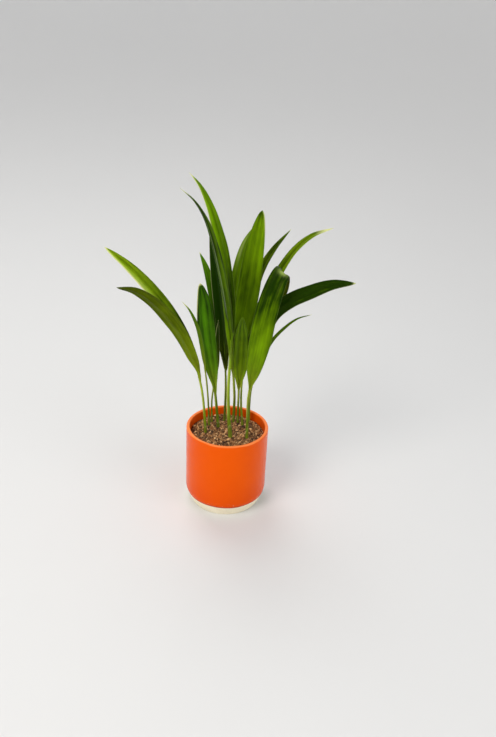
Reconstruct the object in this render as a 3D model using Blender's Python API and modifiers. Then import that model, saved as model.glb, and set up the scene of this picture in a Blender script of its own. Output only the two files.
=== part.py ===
"""Potted palm seedlings: a glazed cup pot, its potting mix and eleven leafy stems.

Metres, +Z up, origin at the centre of the pot's flat foot. The front of the plant looks
towards -Y. Every leafy stem is one solid: a stalk that stands in a plain hole in the mix,
and the long pleated blades that grow from its top.
"""
import math

import bmesh
import bpy
import numpy as np
from mathutils import Vector, noise

MM = 0.001

# Pot, a turned cup with a rounded lip and a bare foot below the glaze
POT_HEIGHT = 61.5 * MM
POT_RADIUS = 30.0 * MM
POT_WALL = 2.6 * MM
POT_FLOOR = 6.0 * MM
POT_SHOULDER_Z = 13.0 * MM
POT_WAIST_BEND_Z = 10.5 * MM
GLAZE_EDGE_Z = 8.6 * MM
GLAZE_EDGE_RADIUS = 29.2 * MM
GLAZE_THICKNESS = 0.3 * MM
FOOT_BEND_RADIUS = 27.8 * MM
FOOT_BEND_Z = 4.2 * MM
FOOT_EDGE_RADIUS = 25.9 * MM
FOOT_EDGE_Z = 0.8 * MM
FOOT_FLAT_RADIUS = 25.3 * MM
INNER_CORNER_ROUND = 5.0 * MM
INNER_CORNER_STEPS = 5
LIP_STEPS = 8
WAIST_STEPS = 4
FOOT_STEPS = 5
POT_SIDES = 48
POT_SHARP_ANGLE = 40.0

# Potting mix
SOIL_TOP = 55.0 * MM
SOIL_GAP = 0.3 * MM
SOIL_EDGE_DROP = 1.2 * MM
SOIL_EDGE_POWER = 6
SOIL_SIDES = 36
SOIL_RINGS = 9
SOIL_LUMPS = ((2.0 * MM, 95.0), (1.1 * MM, 240.0))
SOIL_LUMP_SLICE = 0.01
SOIL_TOP_TOLERANCE = 0.1 * MM
HOLE_BOTTOM = 41.0 * MM
HOLE_CUT_LENGTH = 40.0 * MM
HOLE_SIDES = 12

# Leafy stems
STALK_BOTTOM = 41.3 * MM
STALK_CLEARANCE = 0.35 * MM
STALK_STEP = 6.5 * MM
STALK_INTO_BLADE = 0.16
STALK_TIP_TAPER = 0.45
STALK_RING_POINTS = 2
BLADE_THICKNESS = 0.7 * MM
BLADE_STEP = 6.5 * MM
BLADE_END_HALF_WIDTH = 0.4 * MM
PLEAT_WIDTH = 2.3
PLEAT_DEPTH = 0.35 * MM
FULL_FOLD_HALF_WIDTH = 2.5 * MM
SAMPLES_PER_SPAN = 12
LEAF_SHARP_ANGLE = 50.0

# Points closer than this are one point
WELD_DISTANCE = 0.02 * MM

# One entry for each leafy stem, in millimetres and degrees. The stalk runs from the mix
# to the foot of the blades, girth is its diameter at the bottom and at the top. Each
# blade has the points its rib passes after the stalk, its greatest width, its shape (how
# far along that width lies, and how hollow the outline is towards the foot and the tip),
# the way its upper side looks at the foot, and how far its two halves fold up from the
# rib. A blade that folds over is sampled more finely, at its own step.
LEAFY_STEMS = (
    {
        "stalk": ((-16, -2, 56), (-17.3, -2, 76), (-19, -2.5, 90.5), (-21.5, -3, 103.5)),
        "girth": (1.9, 1.5),
        "blades": (
            {"rib": ((-29, 0, 124), (-41.5, 5, 143.5), (-56, 11, 159), (-72, 18, 172), (-89.5, 25, 183)),
             "width": 10.0, "shape": (0.55, 0.7, 0.9), "face": (0.25, -0.8, 0.5), "fold": 26},
            {"rib": ((-27.5, -6, 121.5), (-35.5, -10.5, 139.5), (-47.5, -16, 157), (-59.5, -21, 168),
                     (-71.3, -26, 172.3)),
             "width": 10.6, "shape": (0.5, 0.7, 0.7), "face": (0.1, 1, 0), "fold": 10},
        ),
    },
    {
        "stalk": ((-14, 9, 56), (-15, 7.5, 76), (-16, 3.5, 93), (-17.2, -2.2, 108)),
        "girth": (1.5, 1.1),
        "blades": (
            {"rib": ((-19.3, -8, 128), (-21.7, -14, 143.5), (-26, -20, 156.8), (-30.8, -25, 165)),
             "width": 2.6, "shape": (0.35, 0.7, 0.9), "face": (0.3, -0.9, 0.4), "fold": 20},
        ),
    },
    {
        "stalk": ((-12.5, 15, 56), (-12.8, 15, 73), (-11.5, 14, 86.5), (-9.5, 13, 98)),
        "girth": (1.5, 1.1),
        "blades": (
            {"rib": ((-9.4, 11.5, 112), (-9.7, 10, 126), (-9.2, 8.5, 140)),
             "width": 3.4, "shape": (0.45, 0.7, 0.8), "face": (0.2, -1, 0.2), "fold": 20},
        ),
    },
    {
        "stalk": ((-7.2, 7, 56), (-8.7, 7, 71), (-9.8, 6.2, 82), (-11, 5, 93)),
        "girth": (2.2, 2.0),
        "blades": (
            {"rib": ((-14, 2, 114), (-16.3, -2, 133), (-17.8, -6, 151), (-18.9, -9, 163), (-20.5, -12, 173)),
             "width": 11.0, "shape": (0.5, 0.55, 0.65), "face": (0.2, -1, 0.2), "fold": 16},
        ),
    },
    {
        "stalk": ((-3, 18, 56), (-2.9, 18.5, 72), (-3.2, 19, 88.5), (-4.1, 20, 104.5)),
        "girth": (1.9, 1.4),
        "blades": (
            {"rib": ((-6, 20.5, 125), (-9, 22, 146), (-12.5, 24, 166), (-15.5, 26.5, 181), (-18, 29, 193)),
             "width": 9.6, "shape": (0.4, 0.7, 0.9), "face": (-0.3, -1, 0.1), "fold": 18},
            {"rib": ((-8, 25, 127.5), (-12.5, 30, 144.5), (-17.5, 35, 159), (-21.5, 39, 169.5),
                     (-25.8, 43, 177.5)),
             "width": 7.4, "shape": (0.5, 0.7, 0.9), "face": (0.3, -0.9, 0.3), "fold": 15},
        ),
    },
    {
        "stalk": ((2.3, -6, 56), (0.7, -6, 73.5), (-0.2, -6, 93.5), (0.2, -6, 114), (0.4, -6, 128)),
        "girth": (2.8, 1.8),
        "blades": (
            {"rib": ((-0.5, -5, 147), (-2.5, -3, 166), (-5.8, 0, 185.5), (-9.7, 3, 201), (-15.5, 6, 217),
                     (-22.5, 9, 229.5), (-30.3, 12, 237.5)),
             "width": 10.0, "shape": (0.4, 0.65, 1.05), "face": (-0.3, -0.9, 0.3), "fold": 14},
            {"rib": ((-2, -8, 148.6), (-5.1, -11, 167.6), (-8.6, -13, 184.7), (-12.3, -15, 199.9),
                     (-17, -17, 214.3), (-23.6, -19, 226), (-32.3, -21, 234)),
             "width": 9.0, "shape": (0.4, 0.65, 1.05), "face": (0.7, 0.65, 0.2), "fold": 14},
        ),
    },
    {
        "stalk": ((3.8, 15.5, 56), (4, 15.2, 74), (3.2, 15, 87), (2, 15.5, 100.5)),
        "girth": (2.1, 1.8),
        "blades": (
            {"rib": ((5, 16, 122.5), (8.5, 17, 144), (11, 19, 163), (12.8, 21, 182), (15, 23.5, 198.5),
                     (17.2, 26, 213)),
             "width": 16.0, "shape": (0.48, 0.65, 0.7), "face": (-0.1, -1, 0.2), "fold": 12},
            {"rib": ((1.7, 22, 122), (1, 28, 145), (2, 33, 166), (4.8, 38, 184.5), (10, 42, 198.5)),
             "width": 11.0, "shape": (0.5, 0.65, 0.8), "face": (0.4, -0.8, 0.3), "fold": 12},
        ),
    },
    {
        "stalk": ((7.3, 13.5, 56), (7, 12.8, 71), (7, 11, 82.5), (6.9, 9, 92.5)),
        "girth": (1.8, 1.4),
        "blades": (
            {"rib": ((7.4, 4, 108.7), (7.7, -2, 125), (7.6, -8, 139.8), (7.6, -14, 152.5)),
             "width": 11.6, "shape": (0.48, 0.7, 0.9), "face": (0, -1, 0.2), "fold": 14},
        ),
    },
    {
        "stalk": ((10.8, 10.5, 56), (9.3, 12, 69.5), (8.8, 14, 83.5), (9.4, 17, 102.5)),
        "girth": (1.9, 1.4),
        "blades": (
            {"rib": ((11.2, 22.5, 128), (14, 29, 150), (18.6, 35, 168), (27.3, 41, 183.5), (38.5, 47, 196.5)),
             "width": 7.6, "shape": (0.45, 0.7, 0.9), "face": (-0.4, -0.8, 0.4), "fold": 18},
            {"rib": ((14, 18, 126), (20.5, 20, 147.5), (28.5, 22, 166), (39.6, 25, 185.5), (51.7, 28, 197),
                     (66.3, 31, 202.5)),
             "width": 7.6, "shape": (0.45, 0.7, 1.0), "face": (-0.5, -0.6, 0.6), "fold": 24},
        ),
    },
    {
        "stalk": ((14.5, -6, 56), (14.1, -6, 74), (14, -6, 88), (15.2, -7, 99)),
        "girth": (2.2, 1.9),
        "blades": (
            {"rib": ((18, -8.5, 119), (20.2, -9, 134), (22, -8, 147), (24.5, -6, 159.5), (28, -2.5, 171),
                     (31, 1.5, 177), (33, 6, 177), (34.5, 9.5, 171), (35, 11, 162)),
             "step": 3.0, "width": 15.4, "shape": (0.42, 0.75, 0.6), "face": (0, -1, 0.2), "fold": 10},
            {"rib": ((19.3, -5, 121.5), (22.6, -1, 135), (28.5, 2, 149), (39, 5, 158), (52, 8.5, 163.5),
                     (67, 11, 168.8), (83, 13, 170)),
             "width": 10.4, "shape": (0.62, 0.7, 0.75), "face": (0.1, 1, 0.1), "fold": 12},
        ),
    },
    {
        "stalk": ((15.6, 16, 56), (15.4, 16, 70), (16, 16, 83), (18.8, 15, 98.5)),
        "girth": (1.5, 1.1),
        "blades": (
            {"rib": ((23.3, 15.5, 110.3), (29.3, 17, 123), (37, 19, 132), (46, 21, 139), (56.3, 23, 142)),
             "width": 2.6, "shape": (0.4, 0.7, 0.9), "face": (-0.3, -0.5, 0.8), "fold": 20},
        ),
    },
)

# Finishes: colour, roughness
GLAZE = ((0.82, 0.105, 0.004, 1.0), 0.25)
POTTING_MIX = ((0.13, 0.06, 0.025, 1.0), 0.95)
LEAF_GREENS = (
    (0.10, 0.19, 0.008, 1.0),
    (0.065, 0.155, 0.008, 1.0),
    (0.035, 0.10, 0.008, 1.0),
)
LEAF_ROUGHNESS = 0.45


def clear_scene():
    """Remove every object and collection that the open file holds."""
    for item in list(bpy.data.objects):
        bpy.data.objects.remove(item, do_unlink=True)
    for group in list(bpy.data.collections):
        bpy.data.collections.remove(group)


def new_collection(name):
    """A collection under the scene's own."""
    group = bpy.data.collections.new(name)
    bpy.context.scene.collection.children.link(group)
    return group


def new_object(name, data, group):
    """An object for the data, linked to the collection."""
    item = bpy.data.objects.new(name, data)
    group.objects.link(item)
    return item


def plain_material(name, colour, roughness):
    """A Principled material of one colour."""
    material = bpy.data.materials.new(name)
    material.use_nodes = True
    shader = material.node_tree.nodes["Principled BSDF"]
    shader.inputs["Base Color"].default_value = colour
    shader.inputs["Roughness"].default_value = roughness
    shader.inputs["Metallic"].default_value = 0.0
    material.diffuse_color = colour
    return material


def turned(name, profile, sides, group):
    """A solid turned round Z from a profile of (radius, height) that ends on the axis."""
    mesh = bpy.data.meshes.new(name)
    points = [(radius, 0.0, height) for radius, height in profile]
    edges = [(index, index + 1) for index in range(len(points) - 1)]
    mesh.from_pydata(points, edges, [])
    item = new_object(name, mesh, group)
    screw = item.modifiers.new("Turn", "SCREW")
    screw.axis = "Z"
    screw.steps = sides
    screw.render_steps = sides
    screw.use_merge_vertices = True
    screw.merge_threshold = WELD_DISTANCE
    screw.use_smooth_shade = True
    return item


def baked(item, group):
    """The object's evaluated mesh as a plain mesh object of the same name."""
    bpy.context.view_layer.update()
    graph = bpy.context.evaluated_depsgraph_get()
    mesh = bpy.data.meshes.new_from_object(item.evaluated_get(graph))
    matrix = item.matrix_world.copy()
    name = item.name
    bpy.data.objects.remove(item, do_unlink=True)
    mesh.name = name
    result = new_object(name, mesh, group)
    result.matrix_world = matrix
    return result


def arc(centre, radius, start, end, count):
    """Points on a circle in the (radius, height) plane, between two angles in degrees."""
    angles = [math.radians(start + (end - start) * step / count) for step in range(count + 1)]
    return [(centre[0] + radius * math.cos(a), centre[1] + radius * math.sin(a)) for a in angles]


def bent(start, corner, end, count):
    """Points on a curve from start to end that leans out to the corner between them."""
    points = []
    for step in range(count + 1):
        t = step / count
        weights = ((1 - t) ** 2, 2 * t * (1 - t), t ** 2)
        points.append(tuple(sum(w * p[axis] for w, p in zip(weights, (start, corner, end)))
                            for axis in range(2)))
    return points


def inner_profile(clearance):
    """The pot's inside from the floor's centre to the wall, brought in by a clearance."""
    wall = POT_RADIUS - POT_WALL - clearance
    floor = POT_FLOOR + clearance
    corner = INNER_CORNER_ROUND - clearance
    centre = (wall - corner, floor + corner)
    return [(0.0, floor)] + arc(centre, corner, -90, 0, INNER_CORNER_STEPS)


def make_pot(group):
    """A cup turned in one piece, with the glaze standing proud of its bare foot."""
    lip = POT_WALL / 2
    rim = arc((POT_RADIUS - lip, POT_HEIGHT - lip), lip, 180, 0, LIP_STEPS)
    shoulder = (POT_RADIUS, POT_SHOULDER_Z)
    glaze_edge = (GLAZE_EDGE_RADIUS, GLAZE_EDGE_Z)
    waist = bent(shoulder, (POT_RADIUS, POT_WAIST_BEND_Z), glaze_edge, WAIST_STEPS)
    bare_edge = (GLAZE_EDGE_RADIUS - GLAZE_THICKNESS, GLAZE_EDGE_Z)
    foot_edge = (FOOT_EDGE_RADIUS, FOOT_EDGE_Z)
    foot = bent(bare_edge, (FOOT_BEND_RADIUS, FOOT_BEND_Z), foot_edge, FOOT_STEPS)
    base = [(FOOT_FLAT_RADIUS, 0.0), (0.0, 0.0)]
    profile = inner_profile(0.0) + rim + waist + foot + base
    pot = turned("pot", profile, POT_SIDES, group)
    pot = baked(pot, group)
    pot.data.materials.clear()
    pot.data.materials.append(plain_material("orange_glaze", *GLAZE))
    pot.data.shade_smooth()
    pot.data.set_sharp_from_angle(angle=math.radians(POT_SHARP_ANGLE))
    return pot


def soil_height(x, y):
    """Height of the mix at a place: lumps of two sizes, sinking a little at the wall."""
    height = SOIL_TOP
    for size, frequency in SOIL_LUMPS:
        place = Vector((x * frequency, y * frequency, frequency * SOIL_LUMP_SLICE))
        height += size * noise.noise(place)
    reach = math.hypot(x, y) / (POT_RADIUS - POT_WALL)
    return height - SOIL_EDGE_DROP * reach ** SOIL_EDGE_POWER


def make_soil(group, cutters):
    """The mix that fills the cup, lumpy on top, with a plain hole for each stalk."""
    side = inner_profile(SOIL_GAP)
    edge = side[-1][0]
    top = [(edge * ring / SOIL_RINGS, SOIL_TOP) for ring in range(SOIL_RINGS + 1)]
    soil = baked(turned("soil", top + side[::-1], SOIL_SIDES, group), group)
    for vertex in soil.data.vertices:
        if vertex.co.z > SOIL_TOP - SOIL_TOP_TOLERANCE:
            vertex.co.z = soil_height(vertex.co.x, vertex.co.y)
    for stem in LEAFY_STEMS:
        x, y = (value * MM for value in stem["stalk"][0][:2])
        radius = stem["girth"][0] * MM / 2 + STALK_CLEARANCE
        middle = HOLE_BOTTOM + HOLE_CUT_LENGTH / 2
        bpy.ops.mesh.primitive_cylinder_add(
            vertices=HOLE_SIDES, radius=radius, depth=HOLE_CUT_LENGTH, location=(x, y, middle))
        cutter = bpy.context.active_object
        cutter.name = "stalk_hole"
        for owner in list(cutter.users_collection):
            owner.objects.unlink(cutter)
        cutters.objects.link(cutter)
        cutter.hide_render = True
        cutter.display_type = "WIRE"
    holes = soil.modifiers.new("Stalk holes", "BOOLEAN")
    holes.operation = "DIFFERENCE"
    holes.operand_type = "COLLECTION"
    holes.collection = cutters
    soil.data.materials.clear()
    soil.data.materials.append(plain_material("potting_mix", *POTTING_MIX))
    return soil


def smooth_path(points, steps=SAMPLES_PER_SPAN):
    """Points on a smooth curve through the given ones (Catmull-Rom), steps to a span."""
    knots = [Vector(p) for p in points]
    knots = [knots[0] * 2 - knots[1]] + knots + [knots[-1] * 2 - knots[-2]]
    path = []
    for a, b, c, d in zip(knots, knots[1:], knots[2:], knots[3:]):
        for step in range(steps):
            t = step / steps
            path.append(0.5 * (2 * b + (c - a) * t + (2 * a - 5 * b + 4 * c - d) * t ** 2
                               + (3 * b - a - 3 * c + d) * t ** 3))
    path.append(knots[-2])
    return path


def even_path(path, spacing):
    """The path again in equal spans of about the given spacing."""
    lengths = np.cumsum([0.0] + [(b - a).length for a, b in zip(path, path[1:])])
    places = np.linspace(0.0, lengths[-1], round(lengths[-1] / spacing) + 1)
    columns = [np.interp(places, lengths, [p[axis] for p in path]) for axis in range(3)]
    return [Vector(p) for p in zip(*columns)]


def blade_rib(stalk, blade):
    """The blade's middle line, which leaves the top of the stalk in the stalk's own way."""
    lead = 2
    points = [Vector(p) * MM for p in stalk[-lead:] + blade["rib"]]
    return smooth_path(points)[(lead - 1) * SAMPLES_PER_SPAN:]


def make_stalk(name, stem, group):
    """A tapering round stalk, plumb where it stands in the mix, that ends as a rib."""
    foot = stem["stalk"][0]
    points = [Vector((foot[0], foot[1], STALK_BOTTOM / MM)) * MM]
    points += [Vector(p) * MM for p in stem["stalk"]]
    path = even_path(smooth_path(points), STALK_STEP)
    body = len(path)
    rib = even_path(blade_rib(stem["stalk"], stem["blades"][0]), STALK_STEP)
    path += rib[1:2 + round(len(rib) * STALK_INTO_BLADE)]
    curve = bpy.data.curves.new(name, "CURVE")
    curve.dimensions = "3D"
    curve.bevel_depth = MM
    curve.bevel_resolution = STALK_RING_POINTS
    curve.use_fill_caps = True
    spline = curve.splines.new("POLY")
    spline.points.add(len(path) - 1)
    bottom, top = (value / 2 for value in stem["girth"])
    for index, place in enumerate(path):
        up = min(1.0, index / (body - 1))
        thin = max(0.0, (index - body + 1) / (len(path) - body))
        spline.points[index].co = (*place, 1.0)
        spline.points[index].radius = (bottom + (top - bottom) * up) * (1 - STALK_TIP_TAPER * thin)
    item = new_object(name, curve, group)
    mesh_item = baked(item, group)
    shape = bmesh.new()
    shape.from_mesh(mesh_item.data)
    bmesh.ops.remove_doubles(shape, verts=shape.verts, dist=WELD_DISTANCE)
    shape.to_mesh(mesh_item.data)
    shape.free()
    return mesh_item


def half_width(blade, along):
    """Half the blade's width: it swells to its peak and draws in to a point."""
    peak, foot, tip = blade["shape"]
    if along < peak:
        reach, power = along / peak, foot
    else:
        reach, power = (1 - along) / (1 - peak), tip
    swell = (reach * (2 - reach)) ** power
    return max(BLADE_END_HALF_WIDTH, blade["width"] * MM / 2 * swell)


def blade_frames(rib, blade):
    """Along, face and side of the blade at each point of its rib.

    The face is carried along the rib without turning round it.
    """
    last = len(rib) - 1
    tangents = [(rib[min(i + 1, last)] - rib[max(i - 1, 0)]).normalized() for i in range(last + 1)]
    face = Vector(blade["face"])
    frames = []
    for index, tangent in enumerate(tangents):
        if index:
            face = tangents[index - 1].rotation_difference(tangent) @ face
        face = (face - tangent * face.dot(tangent)).normalized()
        frames.append((index / last, face, tangent.cross(face)))
    return frames


def make_blade(name, stem, blade, group):
    """A grid bent along the rib, folded up from it, pleated lengthwise and thickened."""
    rib = even_path(blade_rib(stem["stalk"], blade), blade.get("step", BLADE_STEP / MM) * MM)
    frames = blade_frames(rib, blade)
    rows = len(rib) - 1
    columns = 2 * max(1, round(blade["width"] / 2 / PLEAT_WIDTH))
    shape = bmesh.new()
    bmesh.ops.create_grid(shape, x_segments=columns, y_segments=rows, size=1.0)
    for vertex in shape.verts:
        across = vertex.co.x
        row = round((vertex.co.y + 1) / 2 * rows)
        column = round((across + 1) / 2 * columns)
        along, face, side = frames[row]
        width = half_width(blade, along)
        flat = min(1.0, (width - BLADE_END_HALF_WIDTH) / FULL_FOLD_HALF_WIDTH)
        fold = math.radians(blade["fold"]) * flat
        pleat = PLEAT_DEPTH * flat * (column % 2)
        lift = abs(across) * width * math.sin(fold) + pleat
        vertex.co = rib[row] + side * (across * width * math.cos(fold)) + face * lift
    bmesh.ops.triangulate(shape, faces=shape.faces)
    mesh = bpy.data.meshes.new(name)
    shape.to_mesh(mesh)
    shape.free()
    item = new_object(name, mesh, group)
    wall = item.modifiers.new("Thickness", "SOLIDIFY")
    wall.thickness = BLADE_THICKNESS
    wall.offset = 0.0
    return baked(item, group)


def make_leafy_stem(number, stem, group):
    """A stalk and its blades, joined into one solid."""
    name = f"leafy_stem_{number:02d}"
    blades = new_collection(f"{name}_blades")
    stalk = make_stalk(name, stem, group)
    for count, blade in enumerate(stem["blades"]):
        make_blade(f"{name}_blade_{count}", stem, blade, blades)
    union = stalk.modifiers.new("Blades", "BOOLEAN")
    union.operation = "UNION"
    union.operand_type = "COLLECTION"
    union.collection = blades
    leafy = baked(stalk, group)
    for item in list(blades.objects):
        bpy.data.objects.remove(item, do_unlink=True)
    bpy.data.collections.remove(blades)
    green = LEAF_GREENS[number % len(LEAF_GREENS)]
    leafy.data.materials.clear()
    leafy.data.materials.append(plain_material(f"{name}_green", green, LEAF_ROUGHNESS))
    leafy.data.shade_smooth()
    leafy.data.set_sharp_from_angle(angle=math.radians(LEAF_SHARP_ANGLE))
    return leafy


def main():
    clear_scene()
    parts = new_collection("potted_palm")
    cutters = new_collection("cutters")
    make_pot(parts)
    make_soil(parts, cutters)
    for number, stem in enumerate(LEAFY_STEMS, start=1):
        make_leafy_stem(number, stem, parts)


main()
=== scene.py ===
import math

import bpy
import numpy as np
from mathutils import Matrix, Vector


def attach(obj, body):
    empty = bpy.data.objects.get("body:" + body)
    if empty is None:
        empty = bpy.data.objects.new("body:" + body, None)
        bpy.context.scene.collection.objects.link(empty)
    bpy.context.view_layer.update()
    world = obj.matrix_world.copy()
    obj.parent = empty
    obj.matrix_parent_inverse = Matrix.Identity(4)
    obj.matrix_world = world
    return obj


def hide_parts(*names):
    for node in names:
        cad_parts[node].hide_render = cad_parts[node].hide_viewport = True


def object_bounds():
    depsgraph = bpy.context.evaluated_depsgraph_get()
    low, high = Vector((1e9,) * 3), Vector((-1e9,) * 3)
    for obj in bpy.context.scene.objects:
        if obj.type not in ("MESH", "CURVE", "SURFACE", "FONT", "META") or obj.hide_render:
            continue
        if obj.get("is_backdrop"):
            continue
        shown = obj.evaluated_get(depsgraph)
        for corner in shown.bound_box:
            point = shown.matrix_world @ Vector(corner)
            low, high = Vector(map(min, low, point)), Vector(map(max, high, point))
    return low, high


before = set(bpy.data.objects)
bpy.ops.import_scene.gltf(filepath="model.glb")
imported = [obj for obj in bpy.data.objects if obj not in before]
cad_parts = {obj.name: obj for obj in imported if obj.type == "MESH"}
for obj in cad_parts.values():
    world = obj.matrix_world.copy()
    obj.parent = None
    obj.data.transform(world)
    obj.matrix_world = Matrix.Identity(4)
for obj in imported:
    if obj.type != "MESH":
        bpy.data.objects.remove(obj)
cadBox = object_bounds()
mm = 0.001
print("frame loaded:", len(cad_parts), "CAD nodes")


# object whose own x, y and z point right, above and away
def placeObject(name, data, right, above, away, place):
    item = bpy.data.objects.new(name, data)
    bpy.context.scene.collection.objects.link(item)
    pose = np.eye(4)
    pose[:3] = np.stack([right, above, away, place], axis=1)
    item.matrix_world = Matrix(pose.tolist())
    return item


# camera at the photograph's place and angle, lens from its focal length in pixels
cameraView = dict(
    place=(0.0129, -0.409, 0.3084),  # metres
    pitch=26.08,  # degrees looking down
    roll=2.90,
    focalPixels=650.0,
    imageHeight=737,
    sensor=36.0,
)


def makeCamera(view):
    pitch, roll = math.radians(view["pitch"]), math.radians(view["roll"])
    ahead = np.array([0, math.cos(pitch), -math.sin(pitch)])
    right = np.array([1.0, 0, 0])
    above = np.cross(right, ahead)
    turnedRight = math.cos(roll) * right + math.sin(roll) * above
    turnedUp = math.cos(roll) * above - math.sin(roll) * right
    data = bpy.data.cameras.new("photoCamera")
    data.sensor_width = view["sensor"]
    data.lens = view["focalPixels"] * view["sensor"] / view["imageHeight"]
    data.clip_start = 0.01
    camera = placeObject("photoCamera", data, turnedRight, turnedUp, -ahead, view["place"])
    bpy.context.scene.camera = camera


makeCamera(cameraView)
print("camera set")


# numpy shapes

pathSteps = 24  # how many points a smooth path has from one given point to the next


def unit(vectors):
    return vectors / np.maximum(np.linalg.norm(vectors, axis=-1, keepdims=True), 1e-12)


# 0 up to low, 1 from high on, and a smooth rise between them
def ease(value, low, high):
    part = np.clip((value - low) / (high - low), 0, 1)
    return part * part * (3 - 2 * part)


# values brought to one common shape and laid side by side
def stacked(*values):
    return np.stack(np.broadcast_arrays(*values), axis=-1)


# angles all the way round in equal steps, as one row
def roundAngles(count):
    return np.linspace(0, 2 * np.pi, count, endpoint=False)[None, :]


# points round the z axis: point = (out x cos(angle), out x sin(angle), height)
def turnedGrid(out, height, angle):
    return stacked(out * np.cos(angle), out * np.sin(angle), height + 0 * angle)


# soft random field: random values on a unit lattice, blended smoothly between the eight round a point
def softNoise(points, seed):
    table = np.random.default_rng(seed).random(256)
    order = np.random.default_rng(seed + 1).permutation(256)
    cell = np.floor(points).astype(int)
    part = points - cell
    part = part * part * (3 - 2 * part)
    total = np.zeros(points.shape[:-1])
    for corner in range(8):
        step = np.array([corner & 1, corner >> 1 & 1, corner >> 2 & 1])
        where = (cell + step) & 255
        index = order[(order[(order[where[..., 0]] + where[..., 1]) & 255] + where[..., 2]) & 255]
        weight = np.prod(np.where(step, part, 1 - part), axis=-1)
        total += table[index] * weight
    return total * 2 - 1


# curve through the points: every span is the Catmull-Rom cubic of its two ends and their neighbours
def smoothPath(points):
    knots = np.asarray(points, float)
    knots = np.vstack([2 * knots[0] - knots[1], knots, 2 * knots[-1] - knots[-2]])
    a, b, c, d = (knots[k:len(knots) - 3 + k, None] for k in range(4))
    t = np.linspace(0, 1, pathSteps, endpoint=False)[None, :, None]
    spans = 2 * b + (c - a) * t + (2 * a - 5 * b + 4 * c - d) * t ** 2 + (3 * b - a - 3 * c + d) * t ** 3
    return np.vstack([spans.reshape(-1, 3) / 2, knots[-2]])


def pathLengths(path):
    return np.concatenate([[0], np.cumsum(np.linalg.norm(np.diff(path, axis=0), axis=1))])


def evenPath(path, spacing):
    lengths = pathLengths(path)
    places = np.linspace(0, lengths[-1], max(4, round(lengths[-1] / spacing)) + 1)
    return np.stack([np.interp(places, lengths, path[:, axis]) for axis in range(3)], axis=1)


# face and side along a path: the face is turned only by the least turn that takes one tangent to the next
def carriedFrames(path, firstFace):
    tangents = unit(np.gradient(path, axis=0))
    faces = np.empty_like(path)
    looks = np.array(firstFace, float)
    for row, tangent in enumerate(tangents):
        if row:
            before = tangents[row - 1]
            turn = np.cross(before, tangent)
            once = np.cross(turn, looks)
            looks = looks + once + np.cross(turn, once) / (1 + before @ tangent)
        looks = looks - tangent * (looks @ tangent)
        looks = looks / np.linalg.norm(looks)
        faces[row] = looks
    return faces, np.cross(tangents, faces)


# tube round a path: point = path + face x cos(angle) x reach + side x sin(angle) x reach
def tubeGrid(path, faces, sides, angle, reach):
    return (path[:, None] + faces[:, None] * (np.cos(angle) * reach)[..., None]
            + sides[:, None] * (np.sin(angle) * reach)[..., None])


# faces of a grid that closes on itself round its second direction
def ringQuads(rows, around, flipped=False):
    row, column = np.meshgrid(np.arange(rows - 1), np.arange(around), indexing="ij")
    here, after = row * around + column, row * around + (column + 1) % around
    corners = (here, after, after + around, here + around)
    if flipped:
        corners = (here, here + around, after + around, after)
    return np.stack(corners, axis=-1).reshape(-1, 4)


# triangles from a ring of points to one point
def ringFan(start, around, tip):
    ring = np.arange(around)
    return stacked(start + ring, start + (ring + 1) % around, tip)


# shell from a grid that closes on itself round its second direction, with a point at each end
def closedShell(grid, tissue, grain):
    rows, around = grid.shape[:2]
    last = (rows - 1) * around

    def withEnds(values):
        flat = values.reshape(rows * around, -1)
        return np.vstack([flat, flat[:around].mean(axis=0), flat[last:].mean(axis=0)])

    points = withEnds(grid)
    quads = ringQuads(rows, around)
    triangles = np.vstack([ringFan(0, around, rows * around)[:, [1, 0, 2]],
                           ringFan(last, around, rows * around + 1)])
    a, b, c, d = (points[quads[:, k]] for k in range(4))
    volume = np.sum(a * np.cross(b, c)) + np.sum(a * np.cross(c, d))
    if volume < 0:
        quads, triangles = quads[:, ::-1], triangles[:, ::-1]
    return dict(points=points, quads=quads, triangles=triangles,
                tissue=withEnds(tissue), grain=withEnds(grain))


def joinedShells(shells):
    starts = np.cumsum([0] + [len(shell["points"]) for shell in shells[:-1]])
    joined = {key: np.vstack([shell[key] for shell in shells]) for key in ("points", "tissue", "grain")}
    for key in ("quads", "triangles"):
        joined[key] = np.vstack([shell[key] + start for shell, start in zip(shells, starts)])
    return joined


# mesh object straight from arrays; tissue becomes a colour attribute and grain a UV map
def meshPiece(name, shell, materials, faceMaterial=None):
    mesh = bpy.data.meshes.new(name)
    quads, triangles = shell["quads"], shell["triangles"]
    corners = np.concatenate([quads.ravel(), triangles.ravel()]).astype(np.int32)
    sizes = np.concatenate([np.full(len(quads), 4), np.full(len(triangles), 3)])
    mesh.vertices.add(len(shell["points"]))
    mesh.vertices.foreach_set("co", shell["points"].astype(np.float32).ravel())
    mesh.loops.add(len(corners))
    mesh.loops.foreach_set("vertex_index", corners)
    mesh.polygons.add(len(sizes))
    mesh.polygons.foreach_set("loop_start", (np.cumsum(sizes) - sizes).astype(np.int32))
    mesh.update(calc_edges=True)
    tissue = mesh.attributes.new("tissue", "FLOAT_COLOR", "POINT")
    tissue.data.foreach_set("color", shell["tissue"].astype(np.float32).ravel())
    grain = mesh.uv_layers.new(name="grain")
    grain.uv.foreach_set("vector", shell["grain"].astype(np.float32)[corners].ravel())
    for material in materials:
        mesh.materials.append(material)
    if faceMaterial is not None:
        mesh.polygons.foreach_set("material_index", faceMaterial.astype(np.int32))
    mesh.shade_smooth()
    mesh.validate()
    piece = bpy.data.objects.new(name, mesh)
    bpy.context.scene.collection.objects.link(piece)
    return piece


def dressNode(piece, node, slot):
    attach(piece, "root")
    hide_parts(node)


# shader helpers: a value that is a socket is linked, any other is set

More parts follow.
